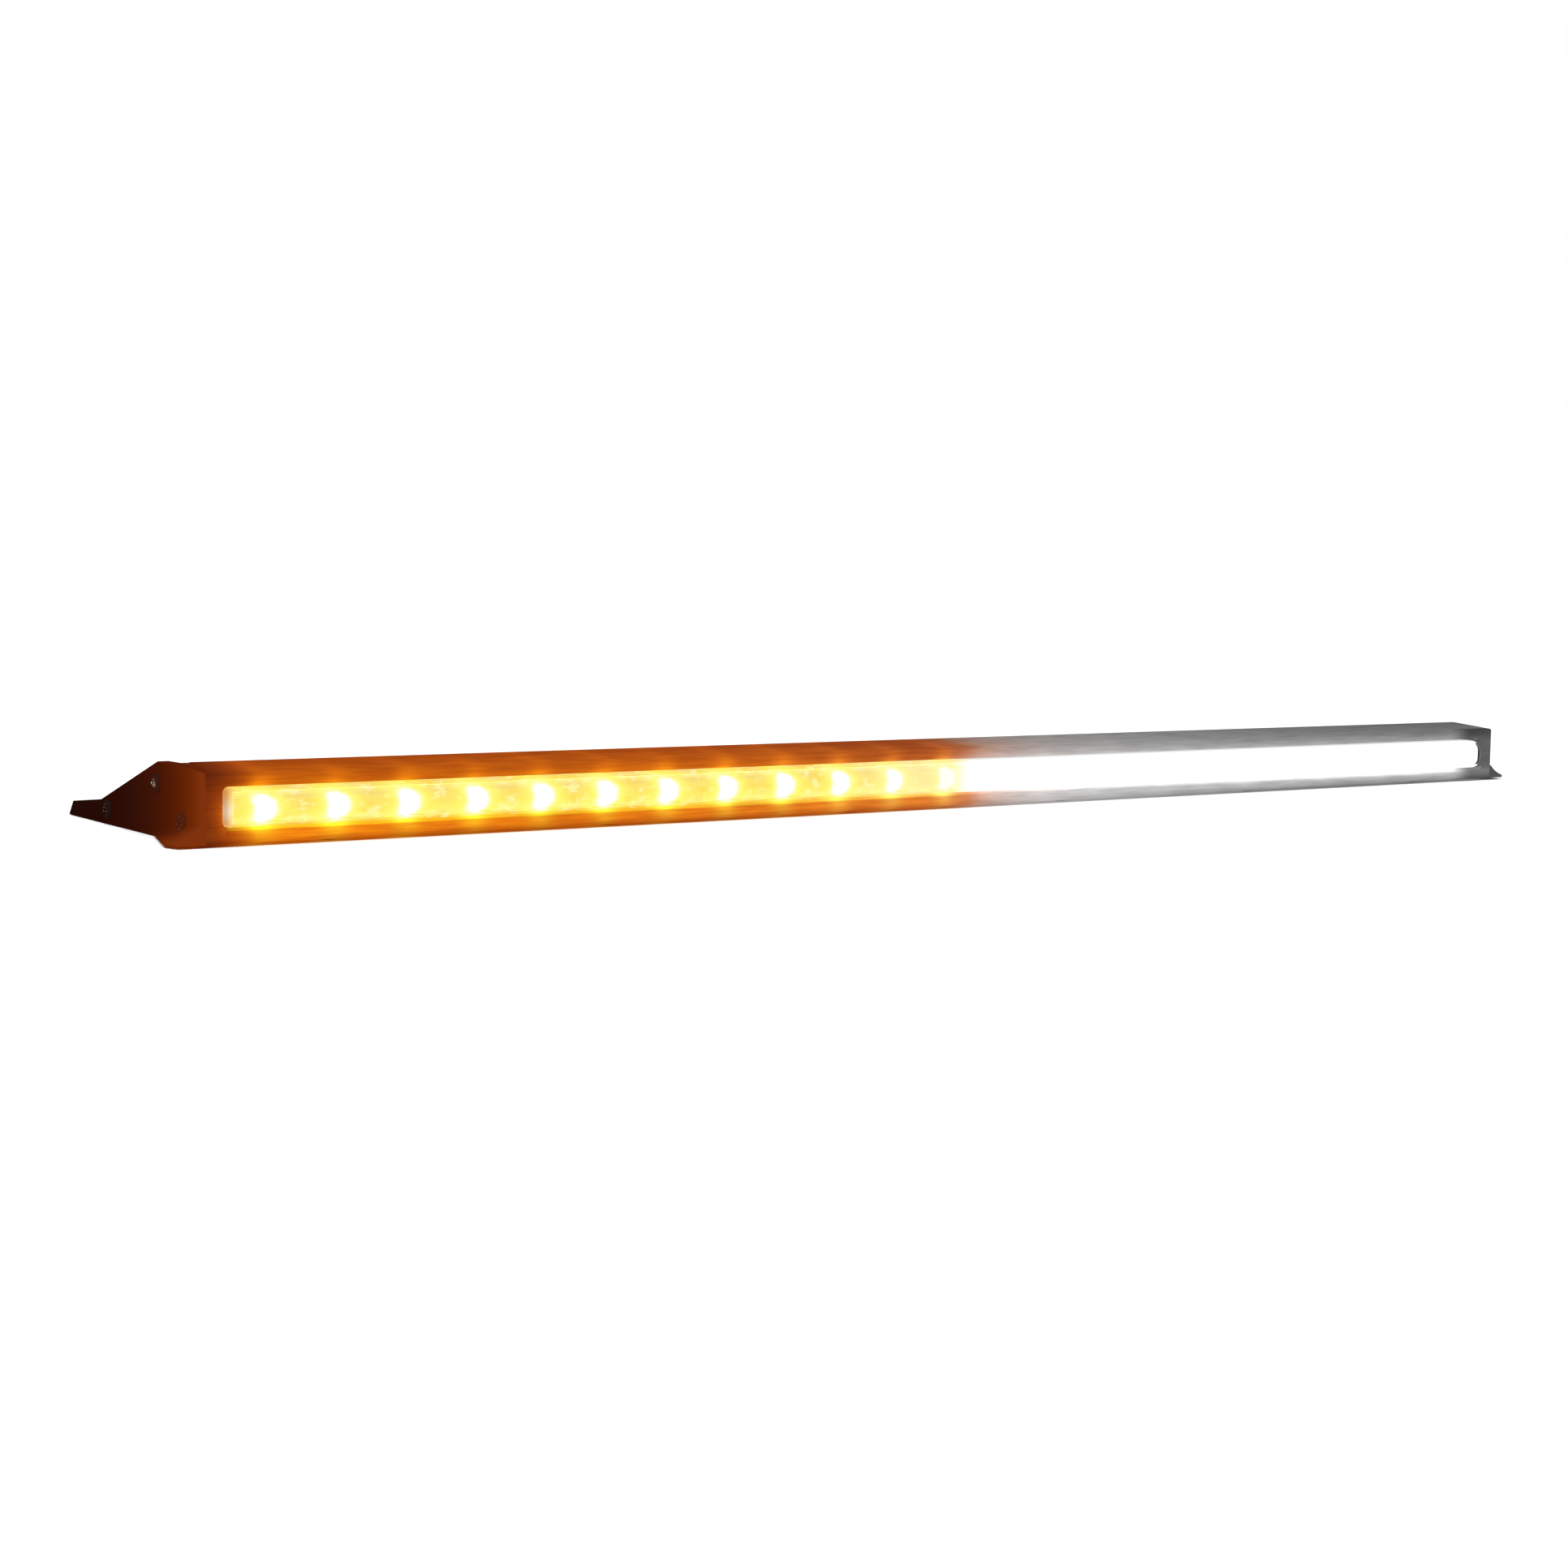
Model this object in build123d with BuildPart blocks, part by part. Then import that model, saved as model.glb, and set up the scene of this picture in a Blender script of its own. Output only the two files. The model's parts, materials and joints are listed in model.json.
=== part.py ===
"""Wedge-shaped LED light bar with 24 two-colour cells.

X runs along the bar, Y from the lens at the front to the mounting flange at the rear, and Z
up. The origin is the centre of the footprint, on the mounting plane. All lengths are in mm.
"""
import os
from math import atan2, degrees

from build123d import *

os.makedirs("parts", exist_ok=True)

# ---- driving dimensions -----------------------------------------------------------------
PITCH = 20.0                 # from one cell to the next
CELLS = 24
WHITE_SHIFT = -0.27 * PITCH  # each white emitter stands this far from its amber neighbour
HEIGHT = 20.0                # mounting plane to the level top
DEPTH = 100.0                # lens front to flange tip
FOOT_HALF = 254.0            # half of the overall length, at the flared feet
BODY_HALF = 246.0            # half of the length above the feet
HOUSING_HALF = 242.0         # half of the length of the housing extrusion
GASKET = 0.8                 # thickness of the end gaskets
GAP = 0.2                    # working clearance between loose pieces

# ---- stations from front to rear (Y) ----------------------------------------------------
LENS_FRONT = -DEPTH / 2
TAIL = DEPTH / 2
FACE = LENS_FRONT + 1.0      # the lens stands this far proud of the bezel
PLATE_BACK = FACE + 2.5      # back of the bezel's front plate
SHELL_BACK = FACE + 4.0      # back of the bezel's shallow box
RIDGE = FACE + 17.5          # rear edge of the bezel's top skirt
LEVEL_END = FACE + 31.0      # where the level top of the end caps ends
NOSE = -44.3                 # front of the housing
WEB_FRONT = -37.0            # wall that carries the LED board
WEB_BACK = -33.0
CHAMBER_BACK = 7.4
LEDGE_BACK = 14.3            # rear end of the recess for the base plate
DECK_FOOT = 23.0             # where the sloping deck meets the flange
FLANGE_TOP_END = 46.6

# ---- heights (Z) ------------------------------------------------------------------------
FRONT_TOP = 18.4             # top edge of the front face
FRONT_FOOT = 0.5             # bottom edge of the front face
SHELL_TOP = FRONT_TOP + (HEIGHT - FRONT_TOP) * (SHELL_BACK - FACE) / (RIDGE - FACE)
RIGHT_CAP_TOP = (18.85, HEIGHT)    # heights at the rear and at the ridge
LEFT_CAP_TOP = (19.4, 19.5)
RECESS = 2.6                 # depth of the recess for the base plate and its gasket
NOSE_TOP = 17.4
DECK_TOP = 18.8
FLANGE_ROOT = 6.2
FLANGE_TIP = 4.0
CEILING = 15.2               # inside the chamber
CEILING_LOW = 7.2            # at the rear of the chamber
LED_Z = 9.7                  # height of the row of LEDs
CHANNEL = 10.0               # height of the open channel in the nose

# ---- lens and optics --------------------------------------------------------------------
APERTURE = (481.0, 10.4)
APERTURE_RADIUS = 1.6
LENS_FLANGE = (485.0, 12.6)
LENS_CAVITY = (478.8, 8.4)
LENS_WALL = 1.5
OPTIC = (478.2, 8.0)
REFLECTOR = (479.2, 9.8)
BOARD = (479.2, 9.8)
BOARD_THICK = 1.6
PAD_THICK = 0.5
BOARD_BACK = WEB_FRONT - PAD_THICK
BOARD_FRONT = BOARD_BACK - BOARD_THICK
REFLECTOR_FRONT = -45.1

# ---- fasteners --------------------------------------------------------------------------
END_SCREWS = ((-17.5, 13.6), (-35.0, 5.0), (18.5, 3.9))    # (Y, Z) on each end cap
BASE_SCREW_X = [80.0 * (i - 2.5) for i in range(6)]
BASE_SCREW_Y = (-35.0, 10.6)
BEZEL_SCREW_X = [84.0 * (i - 2.5) for i in range(6)]
BEZEL_SCREW_Y = -42.0
BOARD_SCREW_X = (-8 * PITCH, -3 * PITCH, 3 * PITCH, 8 * PITCH)
MOUNT_X = 120.0              # from one flange hole to the next
MOUNT_Y = 36.5
MOUNT_HOLE = 5.5
MOUNT_SEAT = 11.0
SEAT_Z = 3.6

# ---- electronics ------------------------------------------------------------------------
PLATE = 2.0                  # base plate thickness
DRIVER_Z = 5.0               # underside of the driver board
DRIVER_TOP = DRIVER_Z + 1.6
DRIVER_MID_Y = -13.0
DRIVER_SIZE = (140.0, 33.0)
LEAD_X = -2.5 * PITCH
LEAD_GAP = 2.5
LEAD_DIAMETER = 1.4
CORD_X = 120.0               # cable grommet
VENT_X = -150.0
GROMMET_Y = -12.0

CELL_X = [PITCH * (i - (CELLS - 1) / 2) for i in range(CELLS)]
BOUNDARY_X = [x + PITCH / 2 for x in CELL_X[:-1]]


# ---- helpers ----------------------------------------------------------------------------
def across(x):
    """A plane across the bar: its own X is +Y and its own Y is +Z."""
    return Plane(origin=(x, 0, 0), x_dir=(0, 1, 0), z_dir=(1, 0, 0))


def facing(y):
    """A plane along the bar that faces the front: its own Y is +Z."""
    return Plane(origin=(0, y, 0), x_dir=(1, 0, 0), z_dir=(0, -1, 0))


def save(part, name):
    part.label = name
    export_step(part, f"parts/{name}.step")


def slab(size, radius, back, front):
    """A rounded bar in front of the LED board, from station back to station front."""
    with BuildPart() as piece:
        with BuildSketch(facing(back)):
            with Locations((0, LED_Z)):
                RectangleRounded(*size, radius)
        extrude(amount=back - front)
    return piece.part


def cross_recess(width, depth):
    """The cutter for a cross recess that opens towards -Z at Z = 0."""
    with BuildPart() as cutter:
        with BuildSketch():
            Rectangle(width, width / 4)
            Rectangle(width / 4, width)
        extrude(amount=depth, taper=12)
    return cutter.part


def countersunk_screw(diameter, head, length):
    """Axis +Z, with its flat head face at Z = 0."""
    with BuildPart() as screw:
        Cylinder(diameter / 2, length, align=(Align.CENTER, Align.CENTER, Align.MIN))
        Cone(head / 2, diameter / 2, (head - diameter) / 2,
             align=(Align.CENTER, Align.CENTER, Align.MIN))
        add(cross_recess(head * 0.6, head * 0.22), mode=Mode.SUBTRACT)
    return screw.part


def pan_screw(diameter, head, head_height, length):
    """Axis +Z, with the underside of its head at Z = 0 and the shank above."""
    with BuildPart() as screw:
        Cylinder(diameter / 2, length, align=(Align.CENTER, Align.CENTER, Align.MIN))
        with Locations((0, 0, -head_height)):
            Cylinder(head / 2, head_height, align=(Align.CENTER, Align.CENTER, Align.MIN))
        fillet(screw.edges().group_by(Axis.Z)[0], head_height * 0.45)
        with Locations((0, 0, -head_height)):
            add(cross_recess(head * 0.55, head_height * 0.6), mode=Mode.SUBTRACT)
    return screw.part


# ---- outlines across the bar --------------------------------------------------------------
DECK_ANGLE = degrees(atan2(FLANGE_ROOT - DECK_TOP, DECK_FOOT - LEVEL_END))


def deck_height(y):
    """Height of the housing's sloping deck at a station behind the level top."""
    fall = (DECK_TOP - FLANGE_ROOT) / (DECK_FOOT - LEVEL_END)
    return DECK_TOP - fall * (y - LEVEL_END)


HOUSING_OUTLINE = (
    (NOSE, RECESS),
    (LEDGE_BACK, RECESS),
    (LEDGE_BACK, 0),
    (TAIL, 0),
    (FLANGE_TOP_END, FLANGE_TIP),
    (DECK_FOOT, FLANGE_ROOT),
    (LEVEL_END, DECK_TOP),
    (RIDGE + 0.5, DECK_TOP),
    (RIDGE + 0.5, NOSE_TOP),
    (NOSE, NOSE_TOP),
)
CHAMBER_OUTLINE = (
    (WEB_BACK, RECESS),
    (CHAMBER_BACK, RECESS),
    (CHAMBER_BACK, CEILING_LOW),
    (LEVEL_END, CEILING),
    (WEB_BACK, CEILING),
)


def cap_outline(rear_top, ridge_top):
    """Outline of an end cap whose top has these heights at its rear and at the ridge."""
    return (
        (SHELL_BACK + 0.1, 0),
        (TAIL, 0),
        (FLANGE_TOP_END, FLANGE_TIP),
        (DECK_FOOT + 1.4, FLANGE_ROOT),
        (DECK_FOOT - 0.6, FLANGE_ROOT + 0.6),
        (LEVEL_END, rear_top),
        (RIDGE, ridge_top),
        (SHELL_BACK + 0.1, SHELL_TOP),
    )


# ---- housing ------------------------------------------------------------------------------
FIN_PITCH = 4.5
FIN_GROOVE = (1.8, 1.5)      # width and depth
FIN_GROOVES = 8
BOSS = 6.0                   # diameter of the ribs that take the end screws
END_HOLE = 3.0
END_HOLE_DEPTH = 12.0
LEAD_SLOT = (12.0, 6.0)

with BuildPart() as housing:
    with BuildSketch(across(-HOUSING_HALF)):
        with BuildLine():
            Polyline(*HOUSING_OUTLINE, close=True)
        make_face()
        with BuildLine():
            Polyline(*CHAMBER_OUTLINE, close=True)
        make_face(mode=Mode.SUBTRACT)
        with Locations(END_SCREWS[0]):
            Circle(BOSS / 2)
        with Locations(((NOSE + WEB_FRONT) / 2, LED_Z)):
            Rectangle(WEB_FRONT - NOSE, CHANNEL, mode=Mode.SUBTRACT)
        groove_y = [LEVEL_END + FIN_PITCH * (i + 1) for i in range(FIN_GROOVES)]
        with Locations(*[(y, deck_height(y)) for y in groove_y]):
            Rectangle(FIN_GROOVE[0], 2 * FIN_GROOVE[1], rotation=DECK_ANGLE, mode=Mode.SUBTRACT)
    extrude(amount=2 * HOUSING_HALF)
    fillet(housing.edges().filter_by(Axis.X).group_by(Axis.Y)[-1], 0.5)
    fillet(housing.edges().filter_by(Axis.X).group_by(Axis.Y)[-3], 0.8)
    # end screw holes
    for x, way in ((-HOUSING_HALF, 1), (HOUSING_HALF, -1)):
        with BuildSketch(across(x)):
            with Locations(*END_SCREWS):
                Circle(END_HOLE / 2)
        extrude(amount=way * END_HOLE_DEPTH, mode=Mode.SUBTRACT)
    # base plate screw holes, blind, from below
    with BuildSketch(Plane.XY.offset(RECESS)):
        with Locations(*[(x, y) for x in BASE_SCREW_X for y in BASE_SCREW_Y]):
            Circle(1.5)
    extrude(amount=3.6, mode=Mode.SUBTRACT)
    # bezel screw holes, blind, from below
    with BuildSketch(Plane.XY.offset(RECESS)):
        with Locations(*[(x, BEZEL_SCREW_Y) for x in BEZEL_SCREW_X]):
            Circle(1.2)
    extrude(amount=1.8, mode=Mode.SUBTRACT)
    # LED board screw holes in the web
    with BuildSketch(facing(WEB_FRONT)):
        with Locations(*[(x, LED_Z) for x in BOARD_SCREW_X]):
            Circle(1.0)
    extrude(amount=-3.0, mode=Mode.SUBTRACT)
    # slot in the web for the leads
    with BuildSketch(facing(WEB_FRONT)):
        with Locations((LEAD_X, LED_Z)):
            SlotOverall(*LEAD_SLOT)
    extrude(amount=WEB_FRONT - WEB_BACK, mode=Mode.SUBTRACT)
    # flange holes with flat seats
    with BuildSketch():
        with Locations((0, MOUNT_Y)):
            with GridLocations(MOUNT_X, 1, 4, 1):
                Circle(MOUNT_HOLE / 2)
    extrude(amount=HEIGHT, mode=Mode.SUBTRACT)
    with BuildSketch(Plane.XY.offset(SEAT_Z)):
        with Locations((0, MOUNT_Y)):
            with GridLocations(MOUNT_X, 1, 4, 1):
                Circle(MOUNT_SEAT / 2)
    extrude(amount=HEIGHT, mode=Mode.SUBTRACT)
save(housing.part, "housing")


# ---- flared foot --------------------------------------------------------------------------
FLARE_TIP = FACE + 5.4       # the flare reaches out furthest here
FLARE_FRONT_REACH = 6.5      # in front of that, its corner is cut back to this reach
FLARE_END = FACE + 33.0      # the flare dies into the end face here
FLARE_HEIGHT = 4.6
FLARE_LIP = 0.9              # thickness of its edge
FLARE_BITE = 1.0             # how far it reaches into the end face
FLARE_BOW = 0.42             # middle of its hollow, as a share of its reach and height


def flare_section(y, reach, height, lip):
    """One section of the flare on the right-hand end: flat below, hollow above."""
    with BuildSketch(facing(y)) as section:
        inner = BODY_HALF - FLARE_BITE
        top = FRONT_FOOT + height
        edge = FRONT_FOOT + lip
        with BuildLine():
            Line((inner, FRONT_FOOT), (BODY_HALF + reach, FRONT_FOOT))
            Line((BODY_HALF + reach, FRONT_FOOT), (BODY_HALF + reach, edge))
            bow = (BODY_HALF + reach * FLARE_BOW, edge + (top - edge) * FLARE_BOW)
            ThreePointArc((BODY_HALF + reach, edge), bow, (BODY_HALF, top))
            Line((BODY_HALF, top), (inner, top))
            Line((inner, top), (inner, FRONT_FOOT))
        make_face()
    return section.sketch


with BuildPart() as flare:
    front_section = flare_section(FACE, FLARE_FRONT_REACH, FLARE_HEIGHT, FLARE_LIP)
    tip_section = flare_section(FLARE_TIP, FOOT_HALF - BODY_HALF, FLARE_HEIGHT, FLARE_LIP)
    rear_section = flare_section(FLARE_END, 0.4, 0.6, 0.2)
    loft(sections=[front_section.face(), tip_section.face(), rear_section.face()], ruled=True)

# the bezel carries the flare's front stretch, and the end cap the rest
with BuildPart() as bezel_flare:
    add(flare.part)
    split(bisect_by=Plane.XZ.offset(-SHELL_BACK), keep=Keep.TOP)

with BuildPart() as cap_flare:
    add(flare.part)
    split(bisect_by=Plane.XZ.offset(-SHELL_BACK - 0.1), keep=Keep.BOTTOM)


# ---- front bezel --------------------------------------------------------------------------
BEVEL_WIDTH = 2.0            # sloping border round the aperture
BEVEL_DEPTH = 0.8
POCKET = (LENS_FLANGE[0] + 0.6, LENS_FLANGE[1] + 0.6)
SKIRT_HALF = HOUSING_HALF + 0.5
SKIRT_UNDERSIDE = NOSE_TOP + 0.1
BOTTOM_SKIRT_BACK = -39.2
BOTTOM_SKIRT_TOP = RECESS - 0.2

with BuildPart() as front_bezel:
    # shallow box round the lens
    with BuildSketch(across(-BODY_HALF)):
        with BuildLine():
            Polyline(
                (FACE, FRONT_FOOT),
                (SHELL_BACK, FRONT_FOOT),
                (SHELL_BACK, SHELL_TOP),
                (FACE, FRONT_TOP),
                close=True,
            )
        make_face()
    extrude(amount=2 * BODY_HALF)
    fillet(front_bezel.edges().filter_by(Axis.X).group_by(Axis.Y)[0], 0.6)
    fillet(front_bezel.edges().filter_by(Axis.Z).group_by(Axis.Y)[0], 0.8)
    # top and bottom skirts, between the end caps
    with BuildSketch(across(-SKIRT_HALF)):
        with BuildLine():
            Polyline(
                (SHELL_BACK, SKIRT_UNDERSIDE),
                (RIDGE, SKIRT_UNDERSIDE),
                (RIDGE, HEIGHT),
                (SHELL_BACK, SHELL_TOP),
                close=True,
            )
        make_face()
        with BuildLine():
            Polyline(
                (SHELL_BACK, FRONT_FOOT),
                (BOTTOM_SKIRT_BACK, FRONT_FOOT),
                (BOTTOM_SKIRT_BACK, BOTTOM_SKIRT_TOP),
                (SHELL_BACK, BOTTOM_SKIRT_TOP),
                close=True,
            )
        make_face()
    extrude(amount=2 * SKIRT_HALF)
    # flared feet
    add(bezel_flare.part)
    add(bezel_flare.part.mirror(Plane.YZ))
    # aperture with its sloping border
    with BuildSketch(facing(PLATE_BACK)):
        with Locations((0, LED_Z)):
            RectangleRounded(*APERTURE, APERTURE_RADIUS)
    extrude(amount=PLATE_BACK - LENS_FRONT, mode=Mode.SUBTRACT)
    with BuildSketch(facing(FACE + BEVEL_DEPTH)) as inner_edge:
        with Locations((0, LED_Z)):
            RectangleRounded(*APERTURE, APERTURE_RADIUS)
    with BuildSketch(facing(FACE)) as outer_edge:
        with Locations((0, LED_Z)):
            RectangleRounded(APERTURE[0] + 2 * BEVEL_WIDTH, APERTURE[1] + 2 * BEVEL_WIDTH,
                             APERTURE_RADIUS + BEVEL_WIDTH)
    loft(sections=[inner_edge.sketch.face(), outer_edge.sketch.face()], mode=Mode.SUBTRACT)
    # pocket for the lens flange, open to the rear
    with BuildSketch(facing(SHELL_BACK)):
        with Locations((0, LED_Z)):
            RectangleRounded(*POCKET, 2.0)
    extrude(amount=SHELL_BACK - PLATE_BACK, mode=Mode.SUBTRACT)
    # countersunk screw holes in the bottom skirt
    with Locations(*[Location((x, BEZEL_SCREW_Y, FRONT_FOOT), (180, 0, 0)) for x in BEZEL_SCREW_X]):
        CounterSinkHole(1.35, 2.4, depth=4)
save(front_bezel.part, "front_bezel")

with BuildPart() as bezel_screws:
    with Locations(*[(x, BEZEL_SCREW_Y, FRONT_FOOT + 0.1) for x in BEZEL_SCREW_X]):
        add(countersunk_screw(2.3, 4.5, 3.6))
save(bezel_screws.part, "bezel_screws")


# ---- lens, gasket and inner optic ---------------------------------------------------------
RIM_BEVEL = (1.0, 0.6)       # height and depth of the lens's front bevel
FLANGE_FRONT = PLATE_BACK + 0.1
FLANGE_BACK = FLANGE_FRONT + 1.2
OPTIC_FRONT = LENS_FRONT + LENS_WALL + 0.3
OPTIC_BACK = OPTIC_FRONT + 1.5
PILLOW = (17.8, 7.4, 0.5)    # length, height and rise of each cell's pillow

with BuildPart() as lens:
    lens_size = (APERTURE[0] - 2 * GAP, APERTURE[1] - 2 * GAP)
    add(slab(lens_size, APERTURE_RADIUS - GAP, FLANGE_BACK, LENS_FRONT))
    chamfer(lens.edges().group_by(Axis.Y)[0], length=RIM_BEVEL[0], length2=RIM_BEVEL[1])
    add(slab(LENS_FLANGE, 2.0, FLANGE_BACK, FLANGE_FRONT))
    add(slab(LENS_CAVITY, 1.6, FLANGE_BACK, LENS_FRONT + LENS_WALL), mode=Mode.SUBTRACT)
save(lens.part, "lens")

with BuildPart() as lens_gasket:
    gasket_back = NOSE
    gasket_front = FLANGE_BACK
    add(slab((2 * HOUSING_HALF - 0.4, 12.6), 1.5, gasket_back, gasket_front))
    add(slab((REFLECTOR[0] + 0.4, REFLECTOR[1] + 0.2), 0.6, gasket_back, gasket_front),
        mode=Mode.SUBTRACT)
save(lens_gasket.part, "lens_gasket")

with BuildPart() as inner_optic:
    add(slab(OPTIC, 1.4, REFLECTOR_FRONT, OPTIC_FRONT + PILLOW[2]))
    with BuildSketch(facing(OPTIC_FRONT + PILLOW[2])):
        with Locations((0, LED_Z)):
            with GridLocations(PITCH, 1, CELLS, 1):
                RectangleRounded(PILLOW[0], PILLOW[1], 1.6)
    extrude(amount=PILLOW[2])
    fillet(inner_optic.edges().group_by(Axis.Y)[0], PILLOW[2] * 0.9)
    # hollow behind, so that a rim stands on the reflector
    add(slab((OPTIC[0] - 2, OPTIC[1] - 2), 0.6, REFLECTOR_FRONT, OPTIC_BACK), mode=Mode.SUBTRACT)
save(inner_optic.part, "inner_optic")


# ---- reflector ----------------------------------------------------------------------------
CUP_FRONT = (18.4, 9.0, 2.2)   # length, height and corner radius
CUP_BACK = (14.0, 5.0, 1.5)
RELIEF = (4.4, 7.0, 1.3)       # pocket behind each wall between cups

with BuildPart() as cup:
    with BuildSketch(facing(BOARD_FRONT)) as cup_floor:
        RectangleRounded(*CUP_BACK)
    with BuildSketch(facing(REFLECTOR_FRONT)) as cup_mouth:
        RectangleRounded(*CUP_FRONT)
    loft(sections=[cup_floor.sketch.face(), cup_mouth.sketch.face()])

with BuildPart() as reflector:
    add(slab(REFLECTOR, 0.5, BOARD_FRONT, REFLECTOR_FRONT))
    with Locations(*[(x, 0, LED_Z) for x in CELL_X]):
        add(cup.part, mode=Mode.SUBTRACT)
    with BuildSketch(facing(BOARD_FRONT)):
        with Locations(*[(x, LED_Z) for x in BOUNDARY_X]):
            Rectangle(RELIEF[0], RELIEF[1])
    extrude(amount=RELIEF[2], mode=Mode.SUBTRACT)
save(reflector.part, "reflector")


# ---- LED board ----------------------------------------------------------------------------
PACKAGE = (3.0, 0.7)         # side and thickness of an emitter
DOME = (2.4, 0.9)            # diameter and height of its silicone dome
CHIP_RESISTOR = (1.6, 0.8, 0.5)

with BuildPart() as led_board:
    add(slab(BOARD, 0.6, BOARD_BACK, BOARD_FRONT))
    with BuildSketch(facing(BOARD_BACK)):
        with Locations(*[(x, LED_Z) for x in BOARD_SCREW_X]):
            Circle(1.1)
    extrude(amount=BOARD_THICK, mode=Mode.SUBTRACT)
save(led_board.part, "led_board")

with BuildPart() as thermal_pad:
    add(slab(BOARD, 0.4, WEB_FRONT, BOARD_BACK))
    with BuildSketch(facing(WEB_FRONT)):
        with Locations(*[(x, LED_Z) for x in BOARD_SCREW_X]):
            Circle(1.1)
        with Locations((LEAD_X, LED_Z)):
            SlotOverall(*LEAD_SLOT)
    extrude(amount=PAD_THICK, mode=Mode.SUBTRACT)
save(thermal_pad.part, "thermal_pad")

with BuildPart() as led_board_screws:
    with Locations(*[Location((x, BOARD_FRONT, LED_Z), (-90, 0, 0)) for x in BOARD_SCREW_X]):
        add(pan_screw(1.9, 3.4, 1.1, 4.6))
save(led_board_screws.part, "led_board_screws")

with BuildPart() as led_resistors:
    resistor_spots = [(x, LED_Z + dz) for x in BOUNDARY_X if x not in BOARD_SCREW_X
                      for dz in (-2.0, 2.0)]
    with BuildSketch(facing(BOARD_FRONT)):
        with Locations(*resistor_spots):
            Rectangle(CHIP_RESISTOR[1], CHIP_RESISTOR[0])
    extrude(amount=CHIP_RESISTOR[2])
save(led_resistors.part, "led_resistors")


def emitters(shift, colour):
    """The 24 packages and the 24 domes of one colour, as two nodes."""
    spots = [(x + shift, LED_Z) for x in CELL_X]
    with BuildPart() as packages:
        with BuildSketch(facing(BOARD_FRONT)):
            with Locations(*spots):
                RectangleRounded(PACKAGE[0], PACKAGE[0], 0.25)
        extrude(amount=PACKAGE[1])
    save(packages.part, f"{colour}_leds")
    with BuildPart() as domes:
        with BuildSketch(facing(BOARD_FRONT - PACKAGE[1])):
            with Locations(*spots):
                Circle(DOME[0] / 2)
        extrude(amount=DOME[1])
        fillet(domes.edges().group_by(Axis.Y)[0], DOME[1] * 0.95)
    save(domes.part, f"{colour}_led_domes")


emitters(0, "amber")
emitters(WHITE_SHIFT, "white")


# ---- leads and their grommet --------------------------------------------------------------
LEAD_CONNECTOR_FRONT = -15.0
LEAD_LOW = 8.4               # height at which the leads enter the connector

with BuildPart() as lead_grommet:
    with BuildSketch(facing(WEB_BACK)):
        with Locations((LEAD_X, LED_Z)):
            SlotOverall(LEAD_SLOT[0] - 0.1, LEAD_SLOT[1] - 0.1)
    extrude(amount=WEB_BACK - WEB_FRONT)
    with BuildSketch(facing(WEB_BACK)):
        with Locations((LEAD_X, LED_Z)):
            SlotOverall(LEAD_SLOT[0] + 3, LEAD_SLOT[1] + 3)
    extrude(amount=-0.9)
    with BuildSketch(facing(WEB_BACK + 2)):
        with Locations((LEAD_X, LED_Z)):
            with GridLocations(LEAD_GAP, 1, 3, 1):
                Circle(LEAD_DIAMETER / 2 + 0.1)
    extrude(amount=10, mode=Mode.SUBTRACT)
save(lead_grommet.part, "lead_grommet")


def lead(place, name):
    """One lead, from the back of the LED board to the lead connector."""
    x = LEAD_X + place * LEAD_GAP
    start = (x, BOARD_BACK, LED_Z)
    with BuildPart() as wire:
        with BuildLine() as route:
            FilletPolyline(
                start,
                (x, -28.0, LED_Z),
                (x, -22.0, LEAD_LOW),
                (x, LEAD_CONNECTOR_FRONT, LEAD_LOW),
                radius=12.0,
            )
        with BuildSketch(Plane(origin=start, z_dir=(0, 1, 0))):
            Circle(LEAD_DIAMETER / 2)
        sweep(path=route.line)
    save(wire.part, name)


lead(-1, "amber_lead")
lead(0, "ground_lead")
lead(1, "white_lead")


# ---- base plate, its gasket and screws ----------------------------------------------------
PLATE_FRONT = -38.9
PLATE_BACK_EDGE = LEDGE_BACK - 0.3
PLATE_MID = (PLATE_FRONT + PLATE_BACK_EDGE) / 2
PLATE_WIDTH = PLATE_BACK_EDGE - PLATE_FRONT
PLATE_LENGTH = 2 * HOUSING_HALF + 1
SPACER_X = 63.0
SPACER_Y = 13.5
CORD_HOLE = 9.0
VENT_HOLE = 6.0
driver_posts = [(sx * SPACER_X, DRIVER_MID_Y + sy * SPACER_Y) for sx in (-1, 1) for sy in (-1, 1)]
base_spots = [(x, y) for x in BASE_SCREW_X for y in BASE_SCREW_Y]

with BuildPart() as base_plate:
    with BuildSketch():
        with Locations((0, PLATE_MID)):
            RectangleRounded(PLATE_LENGTH, PLATE_WIDTH, 1.0)
        with Locations((CORD_X, GROMMET_Y)):
            Circle(CORD_HOLE / 2, mode=Mode.SUBTRACT)
        with Locations((VENT_X, GROMMET_Y)):
            Circle(VENT_HOLE / 2, mode=Mode.SUBTRACT)
    extrude(amount=PLATE)
    with Locations(*[Location((x, y, 0), (180, 0, 0)) for x, y in base_spots]):
        CounterSinkHole(1.6, 3.0, depth=4)
    with BuildSketch(Plane.XY.offset(0.5)):
        with Locations(*driver_posts):
            Circle(1.25)
    extrude(amount=PLATE, mode=Mode.SUBTRACT)
save(base_plate.part, "base_plate")

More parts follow.
